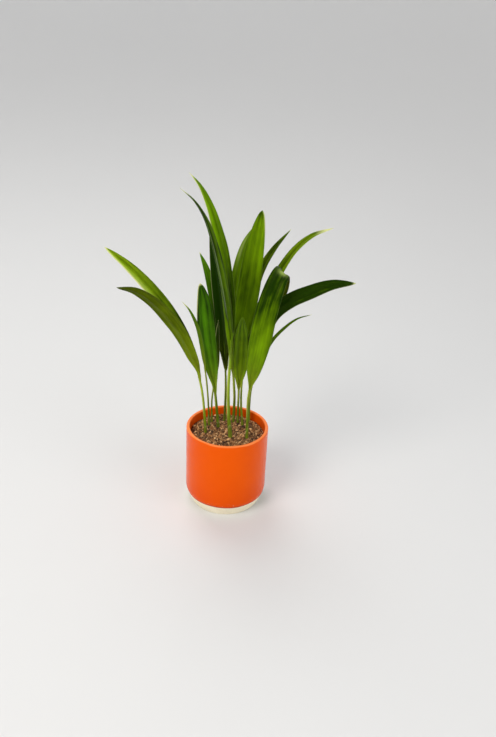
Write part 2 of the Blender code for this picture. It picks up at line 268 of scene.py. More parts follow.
def addNode(tree, kind, inputs, **settings):
    made = tree.nodes.new("ShaderNode" + kind)
    for key, value in settings.items():
        setattr(made, key, value)
    for key, value in inputs.items():
        if isinstance(value, bpy.types.NodeSocket):
            tree.links.new(value, made.inputs[key])
        else:
            made.inputs[key].default_value = value
    return made.outputs


def linkInto(tree, targets, values):
    for label, value in values.items():
        tree.links.new(value, targets[label])


def mathOf(tree, operation, first, second=0.0, third=None, clamp=False):
    inputs = {0: first, 1: second}
    if third is not None:
        inputs[2] = third
    return addNode(tree, "Math", inputs, operation=operation, use_clamp=clamp)[0]


def rangeOf(tree, value, low, high, start=0.0, end=1.0, kind="SMOOTHSTEP"):
    inputs = {"Value": value, "From Min": low, "From Max": high, "To Min": start, "To Max": end}
    return addNode(tree, "MapRange", inputs, interpolation_type=kind)["Result"]


def colourMix(tree, factor, first, second):
    return addNode(tree, "Mix", {0: factor, 6: first, 7: second}, data_type="RGBA")[2]


# colour changed towards another where the mask is 1, by no more than the share
def tinted(tree, colour, mask, share, other):
    return colourMix(tree, mathOf(tree, "MULTIPLY", mask, share), colour, other)


def noiseOf(tree, vector, scale, detail=2.0, roughness=0.5):
    inputs = {"Vector": vector, "Scale": scale, "Detail": detail, "Roughness": roughness}
    return addNode(tree, "TexNoise", inputs)["Fac"]


def stretched(tree, vector, scale):
    return addNode(tree, "Mapping", {"Vector": vector, "Scale": scale})["Vector"]


def partOf(tree, vector, axis):
    return addNode(tree, "SeparateXYZ", {"Vector": vector})[axis]


def objectPlace(tree):
    return addNode(tree, "TexCoord", {})["Object"]


# the four values that the mesh holds at every point
def heldTissue(tree):
    held = addNode(tree, "Attribute", {}, attribute_name="tissue")
    parts = addNode(tree, "SeparateColor", {"Color": held["Color"]})
    return parts[0], parts[1], parts[2], held["Alpha"]


def newGroup(name, inputs, outputs):
    group = bpy.data.node_groups.new(name, "ShaderNodeTree")
    for way, sockets in (("INPUT", inputs), ("OUTPUT", outputs)):
        for label, kind in sockets.items():
            group.interface.new_socket(label, in_out=way, socket_type="NodeSocket" + kind)
    return group, group.nodes.new("NodeGroupInput").outputs, group.nodes.new("NodeGroupOutput").inputs


# material, and its nodes to build on; finished() links what they make into its shader
def newMaterial(name, constants):
    material = bpy.data.materials.new(name)
    material.use_nodes = True
    shader = material.node_tree.nodes["Principled BSDF"]
    for key, value in constants.items():
        shader.inputs[key].default_value = value
    return material, material.node_tree


def finished(material, colour, roughness, height, strength, distance):
    tree = material.node_tree
    bump = addNode(tree, "Bump", {"Height": height, "Strength": strength, "Distance": distance})
    shader = tree.nodes["Principled BSDF"].inputs
    linkInto(tree, shader, {"Base Color": colour, "Roughness": roughness, "Normal": bump["Normal"]})
    return material


cloudRange = (0.3, 0.7)  # the values of the clouds between which a colour or a roughness changes


# fine grain shared by the glaze, the bare foot and the mix: soft clouds, specks and their height
def makeGrainGroup():
    group, given, result = newGroup(
        "fineGrain",
        {"Vector": "Vector", "Cloud Scale": "Float", "Speck Scale": "Float", "Speck Share": "Float"},
        {"Clouds": "Float", "Specks": "Float", "Height": "Float"})
    clouds = noiseOf(group, given["Vector"], given["Cloud Scale"], 3.0)
    fine = noiseOf(group, given["Vector"], given["Speck Scale"], 2.0, 0.6)
    edge = mathOf(group, "ADD", given["Speck Share"], 0.08)
    specks = rangeOf(group, fine, given["Speck Share"], edge)
    linkInto(group, result, {"Clouds": clouds, "Specks": specks, "Height": fine})
    return group


grainGroup = makeGrainGroup()


# the higher the speck share, the fewer the specks
def addGrain(tree, place, cloudScale, speckScale, speckShare):
    return addNode(tree, "Group", {"Vector": place, "Cloud Scale": cloudScale, "Speck Scale": speckScale,
                                   "Speck Share": speckShare}, node_tree=grainGroup)


# pot: a turned cup, glazed but for its foot

pot = dict(
    height=61.5 * mm, radius=30.0 * mm, wall=2.6 * mm, floor=6.0 * mm,
    shoulderHeight=13.0 * mm, waistBendHeight=10.5 * mm,
    glazeEdgeHeight=8.6 * mm, glazeEdgeRadius=29.2 * mm, glazeThickness=0.3 * mm,
    footBend=(27.8 * mm, 4.2 * mm), footEdge=(25.9 * mm, 0.8 * mm), flatRadius=25.3 * mm,
    innerCorner=5.0 * mm,
    sides=288,
    unevenness=0.07 * mm,  # how far the wall wanders from a true circle
    lipUnevenness=0.05 * mm,  # how far the lip runs up and down
    glazeEdgeWander=0.22 * mm,  # how far the glaze's lower edge runs up and down
    wanderReach=1.6 * mm,  # how far above and below that edge the wall follows it
    glaze=(0.82, 0.095, 0.0004, 1.0),
    thinGlaze=(0.95, 0.26, 0.07, 1.0),  # where it breaks over the lip, partly a painted highlight along it
    deepGlaze=(0.66, 0.052, 0.001, 1.0),
    bareClay=(0.93, 0.86, 0.66, 1.0),
    claySpeck=(0.56, 0.44, 0.27, 1.0),
    pooledGlaze=(0.36, 0.022, 0.001, 1.0),  # the dark line along its lower edge: pooled glaze, partly painted shade under the bead
    pinholes=0.74,  # the higher, the fewer
)


def arcPoints(centre, radius, start, end, count):
    angles = np.radians(np.linspace(start, end, count + 1))
    return np.stack([centre[0] + radius * np.cos(angles), centre[1] + radius * np.sin(angles)], axis=1)


def linePoints(start, end, count):
    return np.linspace(start, end, count + 1)


# points on a curve from start to end that leans out to the corner between them
def bentPoints(start, corner, end, count):
    t = np.linspace(0, 1, count + 1)[:, None]
    return (1 - t) ** 2 * np.array(start) + 2 * t * (1 - t) * np.array(corner) + t ** 2 * np.array(end)


# outline from the middle of the floor up the inside, over the lip and down the outside to the middle of
# the foot; the last number of a stretch is how many parts it is cut into, and the first seven are glazed
def potProfile(cup):
    radius, floor, flat = cup["radius"], cup["floor"], cup["flatRadius"]
    inner, corner, lip = radius - cup["wall"], cup["innerCorner"], cup["wall"] / 2
    lipHeight = cup["height"] - lip
    shoulder = (radius, cup["shoulderHeight"])
    glazeEdge = np.array([cup["glazeEdgeRadius"], cup["glazeEdgeHeight"]])
    bead, edge = cup["glazeThickness"], cup["footEdge"]
    stretches = [
        linePoints((inner * 0.06, floor), (inner - corner, floor), 10),
        arcPoints((inner - corner, floor + corner), corner, -90, 0, 12),
        linePoints((inner, floor + corner), (inner, lipHeight), 30),
        arcPoints((radius - lip, lipHeight), lip, 180, 0, 20),
        linePoints((radius, lipHeight), shoulder, 46),
        bentPoints(shoulder, (radius, cup["waistBendHeight"]), glazeEdge, 18),
        arcPoints(glazeEdge + (-bead, 0), bead, 0, -80, 6),
        bentPoints(glazeEdge + (-bead, -bead * 0.6), cup["footBend"], edge, 18),
        bentPoints(edge, (edge[0] - 0.35 * mm, 0), (flat, 0), 6),
        linePoints((flat, 0), (flat * 0.05, 0), 14),
    ]
    bareFrom = sum(len(stretch) - 1 for stretch in stretches[:7])
    return np.vstack([stretch[:-1] for stretch in stretches] + [stretches[-1][-1:]]), bareFrom


# profile carried round the axis: the upper wall is drawn in by up to the unevenness, the lip sinks by up
# to twice its own, and the height wanders near the glaze's edge
def makePot(cup):
    profile, bareFrom = potProfile(cup)
    turn = roundAngles(cup["sides"])
    radius = profile[:, :1] + 0 * turn
    height = profile[:, 1:] + 0 * turn
    field = turnedGrid(1.6, height / mm / 22, turn)
    wall = ease(height, 9 * mm, 20 * mm) * ease(radius, 20 * mm, 27 * mm)
    radius = radius - cup["unevenness"] * wall * (softNoise(field + 5, 11) + 1) / 2
    lip = ease(height, 55 * mm, 61 * mm)
    height = height - cup["lipUnevenness"] * lip * (softNoise(field, 12) + 1)
    wander = softNoise(turnedGrid(3, 0, turn[0]), 13)
    near = np.exp(-((profile[:, 1] - cup["glazeEdgeHeight"]) / cup["wanderReach"]) ** 2)
    outside = profile[:, 0] > cup["footBend"][0]
    height = height + cup["glazeEdgeWander"] * (near * outside)[:, None] * wander[None, :]
    grid = turnedGrid(radius, height, turn)
    rows, around = grid.shape[:2]
    place = stacked(turn / (2 * np.pi), height / cup["height"])
    shell = closedShell(grid, np.zeros((rows, around, 4)), place)
    rowOfQuad = np.repeat(np.arange(rows - 1), around)
    bare = np.concatenate([rowOfQuad >= bareFrom, np.zeros(around, bool), np.ones(around, bool)])
    piece = meshPiece("glazedPot", shell, [glazeMaterial(cup), bareClayMaterial(cup)], bare)
    dressNode(piece, "pot", "orange_glaze")


# glaze: thinner and lighter over the lip, partly a painted highlight there, darker towards the foot, with a
# dark line just above the foot that is pooled glaze and partly painted shade under the bead, cloudy
# between; each band is given by the heights where it starts and is full, and the clouds make those
# heights wander
def glazeMaterial(cup):
    material, tree = newMaterial("orangeGlaze", {
        "Specular IOR Level": 0.16, "Specular Tint": (1.0, 0.6, 0.3, 1.0)})
    place = objectPlace(tree)
    grain = addGrain(tree, place, 55.0, 1500.0, 0.66)
    top, foot = cup["height"], cup["glazeEdgeHeight"]
    wandering = mathOf(tree, "MULTIPLY_ADD", grain["Clouds"], 1.6 * mm, -0.8 * mm)
    level = mathOf(tree, "ADD", partOf(tree, place, "Z"), wandering)
    lip = rangeOf(tree, level, top - 1.15 * mm, top - 0.25 * mm)
    pooled = rangeOf(tree, level, foot + 1.3 * mm, foot + 0.2 * mm)
    nearFoot = rangeOf(tree, level, foot + 4.5 * mm, foot + 0.5 * mm)
    lower = rangeOf(tree, level, 34 * mm, 8 * mm, 0.0, 0.38)
    cloud = rangeOf(tree, grain["Clouds"], *cloudRange, 0.0, 0.15)
    holes = rangeOf(tree, noiseOf(tree, place, 620.0, 0.0), cup["pinholes"], cup["pinholes"] + 0.03)
    colour = colourMix(tree, cloud, cup["glaze"], cup["deepGlaze"])
    colour = colourMix(tree, lower, colour, cup["deepGlaze"])
    # dark line above the glaze's edge: pooled glaze, partly painted shade under the bead
    colour = tinted(tree, colour, pooled, 0.8, cup["pooledGlaze"])
    # lighter over the lip: thinner glaze, partly a painted highlight
    colour = tinted(tree, colour, lip, 0.8, cup["thinGlaze"])
    colour = tinted(tree, colour, grain["Specks"], 0.25, cup["deepGlaze"])
    colour = tinted(tree, colour, mathOf(tree, "MULTIPLY", holes, nearFoot), 0.6, cup["bareClay"])
    roughness = rangeOf(tree, grain["Clouds"], *cloudRange, 0.18, 0.27)
    ripple = noiseOf(tree, place, 230.0)
    ripple = mathOf(tree, "ADD", ripple, mathOf(tree, "MULTIPLY", grain["Height"], 0.12))
    return finished(material, colour, roughness, ripple, 0.16, 0.12 * mm)


def bareClayMaterial(cup):
    material, tree = newMaterial("bareClay", {"IOR": 1.45})
    grain = addGrain(tree, objectPlace(tree), 90.0, 2200.0, 0.6)
    cloud = rangeOf(tree, grain["Clouds"], *cloudRange, 0.0, 0.2)
    colour = colourMix(tree, cloud, cup["bareClay"], cup["claySpeck"])
    colour = tinted(tree, colour, grain["Specks"], 0.55, cup["claySpeck"])
    roughness = rangeOf(tree, grain["Clouds"], *cloudRange, 0.75, 0.9)
    return finished(material, colour, roughness, grain["Height"], 0.5, 0.12 * mm)


makePot(pot)
print("pot turned")


# leafy stems: a stalk, its sheath and the pleated blades that leave its top, in millimetres and degrees

leaf = dict(
    rowStep=1.05, columnStep=0.27,  # spacing of a blade's points along and across it
    thickness=0.30, tipThickness=0.25, tipTaper=0.05,  # it thins to that share over that last part
    edgeSharpness=14,  # the higher, the squarer the margins
    leastHalfWidth=0.08, ribRounding=0.05,
    endHalfWidth=0.4, fullFoldHalfWidth=2.5,  # flat up to the first, and folds fully that much further on
    pleatWidth=2.3, pleatDepth=0.35,
    rippleLength=13.0, rippleHeight=1.6,
    keelWidth=0.42, keelDepth=0.16,
    wingLength=14.0, wingFold=55.0,  # narrow wings that run down the stalk
    wingWidth=0.6, wingGain=0.5,  # shares of the stalk's radius: where they start, and what they gain
    wingPeak=3.0, wingFade=(6, 22),
    openFrom=-2.0, openBy=16.0,  # where the channel between them opens out into the blade
    stalkSides=16, stalkStep=0.9, stalkBottom=41.3,
    stalkRunsOn=0.2,  # the part of the first rib that the stalk runs on behind
    stalkHollow=0.16, stalkRidges=0.05,
    soilTop=55.0,
)

# tube round the foot of a stalk
sheath = dict(
    bottom=4.0, pathStep=0.25, sides=24,
    rows=34, innerRows=10, innerEnd=0.55,  # how far back down the inside it is drawn
    slant=0.34,  # how much lower its top is on one side
    skin=0.30, skinLoss=0.23,  # thickness at the bottom, and how much of it is lost by the top
    gap=0.04, flare=0.04, ridges=0.04,
)


# points of the stalk, its girth at foot and top, height of its sheath, green of its fresh tissue, blades,
# and greenDown, how far that green reaches down the stalk
def stemOf(stalk, girth, sheath, green, *blades, greenDown=0):
    return locals()


# points of the rib, greatest width, shape (where along the rib that width lies, then the powers that draw
# in foot and tip), the way the face looks at the foot, fold, and tone, how fresh foot and tip are, partly
# the leaf's own green and partly painted light and shade. halves is the painted light and shade added left
# and right of the rib, stripes how much painted light lies on the pleats' ridges and painted shade in their
# valleys, dry how much of the tip has bleached, under how dull the under side is, wave how far the margins
# ripple, start how far down the stalk the width begins to swell, keel how far the rib stands out behind.
# left and right: strength of a pale margin, partly a painted highlight along a lit edge, and where along
# the blade it starts and ends. patches: soft spots of painted light and shade, each with its place and
# reach along the blade, its place and breadth across it, how much it lightens the green (darkens it where
# negative) and how much painted highlight it adds
def bladeOf(rib, width, shape, face, fold, tone, halves=(0, 0), stripes=0.14, dry=0.0, under=0.5, wave=0.18,
            start=5.0, keel=1.0, left=(0, 0, 1), right=(0, 0, 1), patches=()):
    return locals()


leafyStems = (
    stemOf(((-16, -2, 56), (-17.3, -2, 76), (-19, -2.5, 90.5), (-21.5, -3, 103.5)), (2.0, 1.6), 14,
        (0.235, 0.365, 0.004),
        bladeOf(((-29, 0, 124), (-41.5, 5, 143.5), (-56, 11, 159), (-72, 18, 172), (-89.5, 25, 183)),
            10.0, (0.55, 0.75, 0.78), (0.25, -0.8, 0.5), 28, (0.14, 0.6), halves=(0.32, -0.08),
            stripes=0.12, dry=0.02, left=(1.6, 0.42, 1), patches=((0.6, 0.22, -0.8, 0.4, 0.1, 0.22),)),
        bladeOf(((-27.5, -6, 121.5), (-35.5, -10.5, 139.5), (-47.5, -16, 157), (-59.5, -21, 168),
            (-71.3, -26, 172.3)), 10.6, (0.5, 0.75, 0.7), (0.1, 1, 0), 10, (0.3, -0.05), stripes=0.04,
            under=0.36, wave=0.2, start=8)),
    stemOf(((-14, 9, 56), (-15, 7.5, 76), (-16, 3.5, 93), (-17.2, -2.2, 108)), (1.6, 1.1), 9,
        (0.11, 0.215, 0.004),
        bladeOf(((-19.3, -8, 128), (-21.7, -14, 143.5), (-26, -20, 156.8), (-30.8, -25, 165)), 2.8,
            (0.35, 0.7, 0.9), (0.3, -0.9, 0.4), 20, (0.55, 0.6), dry=0.12, wave=0)),
    stemOf(((-12.5, 15, 56), (-12.8, 15, 73), (-11.5, 14, 86.5), (-9.5, 13, 98)), (1.5, 1.1), 8,
        (0.09, 0.2, 0.004),
        bladeOf(((-9.4, 11.5, 112), (-9.7, 10, 126), (-9.2, 8.5, 140)), 3.4, (0.45, 0.7, 0.8),
            (0.2, -1, 0.2), 20, (0.1, -0.05), dry=0.02, wave=0, left=(0.5, 0.2, 1), right=(0.3, 0.2, 1))),
    stemOf(((-7.2, 7, 56), (-8.7, 7, 71), (-9.8, 6.2, 82), (-11, 5, 93)), (2.2, 1.9), 12,
        (0.078, 0.25, 0.003),
        bladeOf(((-14, 2, 114), (-16.3, -2, 133), (-17.8, -6, 151), (-18.9, -9, 163), (-20.5, -12, 173)),
            12.2, (0.56, 0.72, 0.6), (0.2, -1, 0.2), 16, (0.45, 0.1), stripes=0.25, dry=0.015, start=13,
            left=(1.0, 0.75, 1), patches=((0.62, 0.28, -0.15, 0.35, 0.55, 0),
            (0.75, 0.3, -0.85, 0.15, -0.3, 0)))),
    stemOf(((-3, 18, 56), (-2.9, 18.5, 72), (-3.2, 19, 88.5), (-4.1, 20, 104.5)), (1.9, 1.4), 12,
        (0.075, 0.2, 0.003),
        bladeOf(((-6, 20.5, 125), (-9, 22, 146), (-12.5, 24, 166), (-15.5, 26.5, 181), (-18, 29, 193)),
            9.8, (0.36, 0.65, 0.9), (-0.3, -1, 0.1), 18, (-0.5, -0.25), under=0.1, start=9,
            left=(0.35, 0.5, 1)),
        bladeOf(((-9, 25, 127.5), (-13, 30, 144.5), (-17.5, 35, 159), (-21.5, 39, 169.5),
            (-25.8, 43, 177.5)), 9.4, (0.3, 0.55, 0.8), (0.3, -0.9, 0.3), 15, (-0.1, 0.7), dry=0.02,
            start=9, right=(0.7, 0.15, 0.5)), greenDown=8),
    stemOf(((2.3, -6, 56), (0.7, -6, 73.5), (-0.2, -6, 93.5), (0.2, -6, 114), (0.4, -6, 128)), (3.0, 1.8),
        11, (0.15, 0.295, 0.002),
        bladeOf(((-0.5, -5, 147), (-2.5, -3, 166), (-5.8, 0, 185.5), (-9.7, 3, 201), (-15.5, 6, 217),
            (-22.5, 9, 229.5), (-30.3, 12, 237.5)), 10.0, (0.4, 0.8, 1.05), (-0.3, -0.9, 0.3), 16,
            (0.35, 0.7), halves=(0.1, -0.1), stripes=0.22, dry=0.035, start=14, left=(1.0, 0.6, 1)),
        bladeOf(((-2, -8, 148.6), (-5.1, -11, 167.6), (-8.6, -13, 184.7), (-12.3, -15, 199.9),
            (-17, -17, 214.3), (-23.6, -19, 226), (-32.3, -21, 234)), 9.0, (0.4, 0.8, 1.05),
            (0.7, 0.65, 0.2), 14, (0.12, 0.08), stripes=0.16, dry=0.05, under=0.04, start=14, keel=0.1,
            patches=((0.45, 0.16, 0, 1, 0.12, 0),)), greenDown=15),
    stemOf(((3.8, 15.5, 56), (4, 15.2, 74), (3.2, 15, 87), (2, 15.5, 100.5)), (2.1, 1.8), 12,
        (0.165, 0.305, 0.002),
        bladeOf(((5, 16, 122.5), (8.5, 17, 144), (11, 19, 163), (12.8, 21, 182), (15, 23.5, 198.5),
            (17.2, 26, 213)), 16.0, (0.48, 0.7, 0.56), (-0.1, -1, 0.2), 12, (0.4, 0.62),
            halves=(-0.05, 0.08), stripes=0.2, wave=0.3, right=(1.0, 0.91, 1),
            patches=((0.985, 0.035, -0.3, 1, -0.5, 0), (0.72, 0.12, 0.6, 0.2, 0.2, 0),
            (0.52, 0.14, 0, 1.2, -0.13, 0))),
        bladeOf(((1.7, 22, 122), (1, 28, 145), (2, 33, 166), (5.6, 38, 184.5), (12, 42, 198)), 11.0,
            (0.5, 0.7, 0.8), (0.4, -0.8, 0.3), 12, (0.3, 0.55), left=(0.3, 0.7, 0.95),
            patches=((0.84, 0.09, -0.45, 0.35, 0.9, 0.32),))),
    stemOf(((7.3, 13.5, 56), (7, 12.8, 71), (7, 11, 82.5), (6.9, 9, 92.5)), (1.8, 1.5), 10,
        (0.14, 0.26, 0.002),
        bladeOf(((7.4, 4, 108.7), (7.7, -2, 125), (7.6, -8, 139.8), (7.6, -14, 152.5)), 11.6,
            (0.48, 0.75, 0.9), (0, -1, 0.2), 14, (0.6, 0.35), stripes=0.3, start=9)),
    stemOf(((10.8, 10.5, 56), (9.3, 12, 69.5), (8.8, 14, 83.5), (9.4, 17, 102.5)), (1.9, 1.4), 9,
        (0.165, 0.265, 0.002),
        bladeOf(((11.2, 22.5, 128), (14, 29, 150), (18.6, 35, 168), (27.3, 41, 183.5), (38.5, 47, 196.5)),
            7.6, (0.45, 0.7, 0.9), (-0.4, -0.8, 0.4), 18, (0.3, 0.25), dry=0.015, left=(0.3, 0.3, 1)),
        bladeOf(((14, 18, 126), (20.5, 20, 147.5), (28.5, 22, 166), (39.6, 25, 185.5), (51.7, 28, 197),
            (66.3, 31, 202.5)), 7.6, (0.45, 0.7, 0.8), (-0.5, -0.6, 0.6), 24, (0.25, 0.55),
            halves=(-0.1, 0.1), dry=0.09, right=(0.2, 0.2, 1))),
    stemOf(((14.5, -6, 56), (14.1, -6, 74), (14, -6, 88), (15.2, -7, 99)), (2.2, 1.45), 12,
        (0.185, 0.345, 0.002),
        bladeOf(((18, -8.5, 119), (20.2, -9, 134), (22, -8, 147), (24.5, -6, 159.5), (28, -2.5, 171),
            (31, 1.5, 177), (33, 6, 177), (34.5, 9.7, 171), (34.4, 11.3, 162), (32.6, 12, 154.5)), 15.4,
            (0.39, 0.84, 0.62), (0, -1, 0.2), 10, (0.3, -0.22), stripes=0.06, wave=0.25, start=6,
            patches=((0.3, 0.17, 0.15, 0.9, 0.38, 0), (0.757, 0.02, 0.1, 0.6, 0.9, 0.3))),
        bladeOf(((19.3, -5, 121.5), (22.6, -1, 135), (28.5, 2, 149), (39, 5, 158), (52, 8.5, 163.5),
            (67, 11, 168.8), (83, 13, 170)), 10.4, (0.62, 1.2, 0.75), (0.1, 1, 0.1), 12, (-0.12, -0.2),
            dry=0.015, under=0.02, wave=0.2, left=(0.3, 0.3, 1))),
    stemOf(((15.6, 16, 56), (15.4, 16, 70), (16, 16, 83), (18.8, 15, 98.5)), (1.6, 1.1), 8,
        (0.1, 0.195, 0.004),
        bladeOf(((23.3, 15.5, 110.3), (29.3, 17, 123), (37, 19, 132), (46, 21, 139), (56.3, 23, 142)),
            2.8, (0.4, 0.7, 0.9), (-0.3, -0.5, 0.8), 20, (0.25, 0.7), dry=0.04, wave=0)),
)


# half the width: it swells to its peak by (s(2 - s)) to a power and draws in to a point the same way;
# the swelling starts a little way down the stalk
def halfWidths(blade, distance):
    peak, foot, tip = blade["shape"]
    length = distance[-1]
    below = (distance + blade["start"]) / (peak * length + blade["start"])
    above = (length - distance) / (length * (1 - peak))
    reach = np.clip(np.where(distance < peak * length, below, above), 0, 1)
    power = np.where(distance < peak * length, foot, tip)
    return blade["width"] / 2 * (reach * (2 - reach)) ** power


# rib from the top of the stalk, which it leaves without a kink
def bladeRib(stalk, blade):
    return smoothPath(stalk[-2:] + blade["rib"])[pathSteps:]


# rib with the last stretch of the stalk before it, which carries the blade's narrow wings
def wingedRib(stalk, blade):
    path = smoothPath(stalk + blade["rib"])
    lengths = pathLengths(path)
    foot = lengths[(len(stalk) - 1) * pathSteps]
    kept = lengths >= foot - leaf["wingLength"]
    path = evenPath(path[kept], leaf["rowStep"])
    return path, pathLengths(path) - (foot - lengths[kept][0])


# grid of the upper side, then of the under side from the far margin back
def bothSides(upper, under):
    return np.concatenate([upper, under[:, -2:0:-1]], axis=1)


# blade: point = rib + side x across x width x cos(fold) + face x (|across| x width x sin(fold) + pleats
# + ripple), then half the thickness to either side along the surface's own normal; down the stalk it
# runs out as two narrow wings folded up round a channel
def bladeShell(stem, blade, seed):
    rib, distance = wingedRib(stem["stalk"], blade)
    distance = distance[:, None]
    length = distance[-1, 0]
    along = np.clip(distance / length, 0, 1)
    faces, sides = carriedFrames(rib, blade["face"])
    gain = leaf["wingGain"] * ease(distance, -leaf["wingLength"], leaf["wingPeak"])
    wing = stem["girth"][1] / 2 * (leaf["wingWidth"] + gain)
    wing = wing * (1 - ease(distance, *leaf["wingFade"]))
    width = (np.maximum(halfWidths(blade, distance), leaf["leastHalfWidth"]) ** 3 + wing ** 3) ** (1 / 3)
    columns = 2 * max(5, round(blade["width"] / leaf["columnStep"] / 2))
    across = np.linspace(1, -1, columns + 1)[None, :]
    flat = np.clip((width - leaf["endHalfWidth"]) / leaf["fullFoldHalfWidth"], 0, 1)
    closed = 1 - ease(distance, leaf["openFrom"], leaf["openBy"])
    fold = np.radians(blade["fold"] * flat * (1 - closed) + leaf["wingFold"] * closed)
    pleats = 2 * max(1, round(blade["width"] / 2 / leaf["pleatWidth"]))
    pleat = (1 - np.cos(np.pi * (across + 1) / 2 * pleats)) / 2
    ripplePlace = stacked(along * length / leaf["rippleLength"], across * 0.8, 0.0)
    ripple = blade["wave"] * softNoise(ripplePlace + seed * 3.7, seed) * np.abs(across) ** 1.5 * flat
    fromRib = np.sqrt(across ** 2 + leaf["ribRounding"] ** 2) - leaf["ribRounding"]
    lift = fromRib * width * np.sin(fold) + leaf["pleatDepth"] * flat * pleat
    lift = lift + leaf["rippleHeight"] * ripple
    middle = (rib[:, None] + sides[:, None] * (across * width * np.cos(fold))[..., None]
              + faces[:, None] * lift[..., None])
    normal = unit(np.cross(np.gradient(middle, axis=1), np.gradient(middle, axis=0)))
    normal = normal * np.sign(np.sum(normal * faces[:, None], axis=-1, keepdims=True))
    edge = np.sqrt(np.clip(1 - np.abs(across) ** leaf["edgeSharpness"], 0, 1))
    thinTip = leaf["tipThickness"]
    taper = ease(1 - along, 0, leaf["tipTaper"]) * (1 - thinTip) + thinTip
    offset = (leaf["thickness"] / 2 * edge * taper)[..., None]
    keelReach = blade["keel"] * np.clip(1.25 - along / 0.8, 0, 1)
    keel = leaf["keelDepth"] * keelReach * np.exp(-(across * width / leaf["keelWidth"]) ** 2)
    upper = middle + normal * offset
    under = middle - normal * (offset + (keel * edge)[..., None])
    tissue = bladeTissue(blade, stem["greenDown"], distance, along, across, width, pleat * flat)
    tissue = bothSides(tissue, tissue * (1, 1, 1, 1 - blade["under"]))
    grain = stacked(across * width / 10, distance / 10 + seed)
    return closedShell(bothSides(upper, under) * mm, tissue, bothSides(grain, grain))


# what the upper side's tissue is like at each place: how fresh, with painted light and shade in it, how
# pale, with painted highlights in it, how yellow, and 1 for its side
def bladeTissue(blade, greenDown, distance, along, across, width, pleat):
    # freshness from the tone along the blade: partly the leaf's own green, partly painted light and shade
    fresh = blade["tone"][0] + (blade["tone"][1] - blade["tone"][0]) * ease(along, 0.15, 0.95)
    # painted light and shade added to the left and right halves of the blade
    left, right = blade["halves"]
    fresh = fresh + left * ease(-across, -0.05, 0.15) + right * ease(across, -0.05, 0.15)
    # painted light on the pleats' ridges and painted shade in their valleys
    fresh = fresh + blade["stripes"] * (pleat - 0.5) * ease(width, 0.8, 2.5)
    inward = (1 - np.abs(across)) * width
    margin = 0.10 * np.exp(-(inward / 0.14) ** 2)
    # pale left and right margins, partly painted highlights along lit edges
    for half, (strength, low, high) in ((across < 0, blade["left"]), (across > 0, blade["right"])):
        shown = ease(along, low - 0.12, low + 0.06) * (1 - ease(along, high - 0.06, high + 0.12))
        margin = margin + half * strength * shown * np.exp(-(inward / (0.18 + 0.3 * strength)) ** 2)
    margin = margin * ease(width, 0.15, 0.6)
    # soft spots of painted light and shade, with painted highlights added to the pale margins
    for place, reach, middle, breadth, fresher, paler in blade["patches"]:
        spot = np.exp(-((along - place) / reach) ** 2 - ((across - middle) / breadth) ** 2)
        fresh = fresh + fresher * spot
        margin = margin + paler * spot
    dry = blade["dry"]
    bleached = ease(along, 1 - 1.3 * dry - 0.004, 1 - 0.35 * dry + 0.004) if dry else 0 * along
    pale = np.clip(margin + bleached, 0, 1)
    midrib = 0.13 * np.clip(fresh, 0.15, 1) * np.exp(-(across * width / 0.22) ** 2) * (1 - along)
    foot = np.exp(-np.clip(distance + greenDown, 0, None) / 9)
    return stacked(fresh, pale, np.clip(0.42 * foot + midrib, 0, 1), 1.0)


# path of a stalk from its end in the mix, straight below the first point, to its top
def stalkPath(stem, spacing):
    foot = stem["stalk"][0]
    return evenPath(smoothPath(((foot[0], foot[1], leaf["stalkBottom"]),) + stem["stalk"]), spacing)


# grain map of a tube: how far round it from one line, and how far up
def tubeGrain(angle, radius, height, seed):
    return stacked(np.minimum(angle, 2 * np.pi - angle) * radius / 10, height / 10 + seed)


# stalk: a round section, hollowed a little in front and with three faint ridges, carried up its path and
# on behind the first rib, where it thins out; lit is its pale side
def stalkShell(stem, seed):
    stalk = stalkPath(stem, leaf["stalkStep"])
    rib = evenPath(bladeRib(stem["stalk"], stem["blades"][0]), leaf["stalkStep"])
    into = rib[1:2 + round(len(rib) * leaf["stalkRunsOn"])]
    path = np.vstack([stalk, into])
    faces, sides = carriedFrames(path, (0.0, -1.0, 0.0))
    place = np.arange(len(path))[:, None]
    up = np.clip(place / (len(stalk) - 1), 0, 1)
    thin = np.clip((place - len(stalk) + 1) / len(into), 0, 1)
    bottom, top = (value / 2 for value in stem["girth"])
    radius = (bottom + (top - bottom) * up) * (1 - 0.8 * thin)
    angle = roundAngles(leaf["stalkSides"])
    hollow = leaf["stalkHollow"] * np.clip(np.cos(angle), 0, 1) ** 3 * up
    reach = radius * (1 - hollow - leaf["stalkRidges"] * np.cos(3 * angle + seed))
    grid = tubeGrid(path + faces * (-0.35 * thin * radius), faces, sides, angle, reach)
    height = pathLengths(path)[:, None]
    aboveSoil = height - (leaf["soilTop"] - leaf["stalkBottom"])
    pastTop = height - pathLengths(stalk)[-1]
    lit = np.clip(np.cos(angle + 1.1), 0, 1) ** 2 * ease(aboveSoil, 10, 25)
    lit = lit * (1 - ease(pastTop, -7, 1))
    foot = np.exp(-np.clip(aboveSoil, 0, None) / 4)
    yellow = 0.08 + 0.5 * foot + 0.14 * ease(aboveSoil, 12, 40) + 0.45 * lit
    greened = ease(pastTop + stem["greenDown"], -6, 4)
    yellow = yellow * (1 - 0.3 * thin) * (1 - 0.8 * greened)
    fresh = 0.34 + 0.12 * np.sin(2.4 * seed) + 0.35 * ease(aboveSoil, 22, 45)
    tissue = stacked(fresh, 0.02 + 0.48 * lit ** 2, yellow, 0.85)
    return closedShell(grid * mm, tissue, tubeGrain(angle, radius, height, seed))


